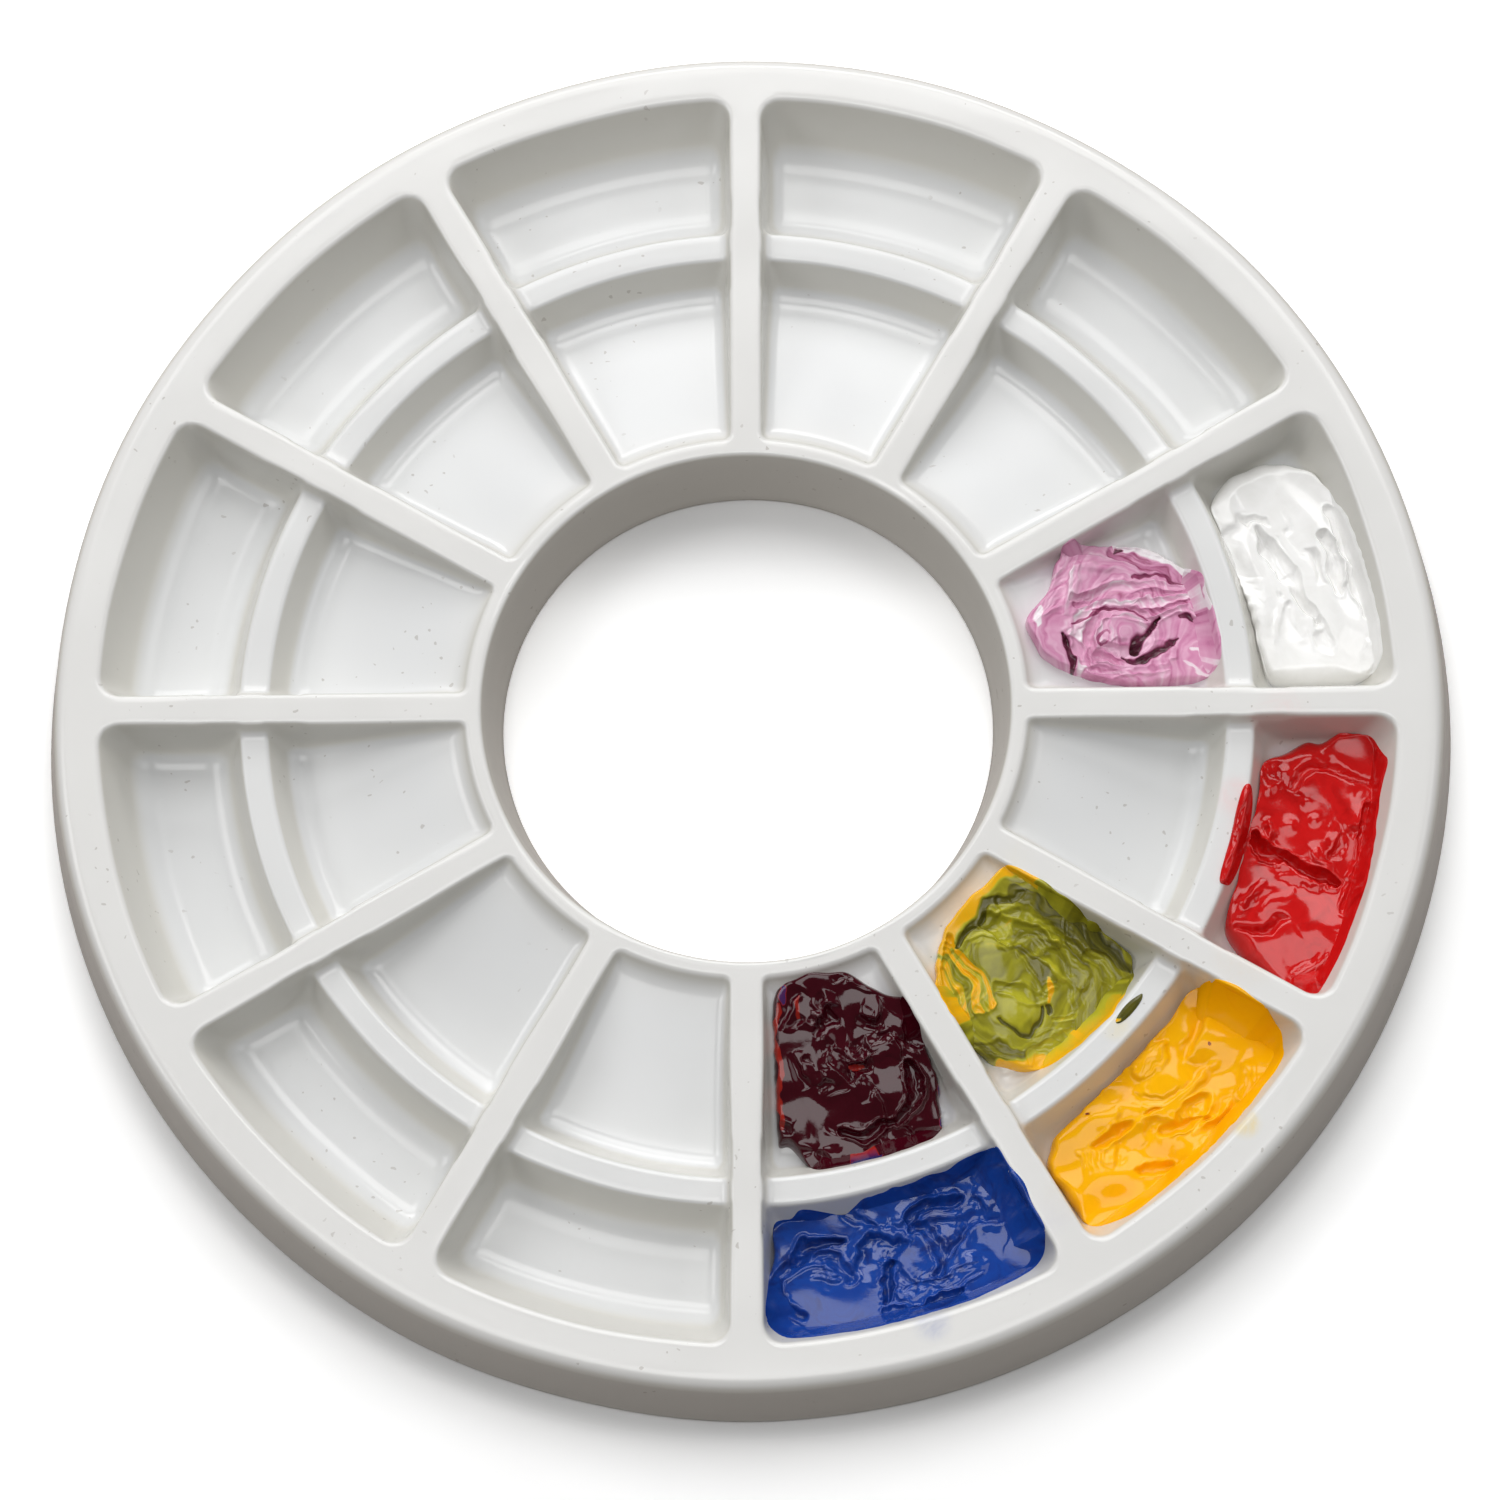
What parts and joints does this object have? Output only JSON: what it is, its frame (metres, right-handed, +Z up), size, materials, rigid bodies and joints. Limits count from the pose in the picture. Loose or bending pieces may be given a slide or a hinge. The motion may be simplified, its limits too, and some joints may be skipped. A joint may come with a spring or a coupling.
{
  "type": "mixing palette",
  "caption": "Round white porcelain paint palette with an open centre and a ring of deep wells outside sloping mixing wells, some holding dabs of wet paint.",
  "frame": {"origin": "centre of the ring on the plane that its foot stands on", "axes": "+Z up, out of the wells; +X along the rib between the white and the red paint"},
  "size_m": [0.254, 0.254, 0.017],
  "materials": {
    "porcelain": "gloss",
    "white_paint": "gloss",
    "pink_paint": "gloss",
    "red_paint": "gloss",
    "yellow_paint": "gloss",
    "olive_paint": "gloss",
    "maroon_paint": "gloss",
    "blue_paint": "gloss"
  },
  "bodies": {
    "root": {"palette_body": "porcelain", "white_paint": "white_paint", "pink_mix": "pink_paint", "red_paint": "red_paint", "red_smear": "red_paint", "yellow_paint": "yellow_paint", "olive_mix": "olive_paint", "olive_fleck": "olive_paint", "maroon_mix": "maroon_paint", "blue_paint": "blue_paint"}
  },
  "joints": []
}
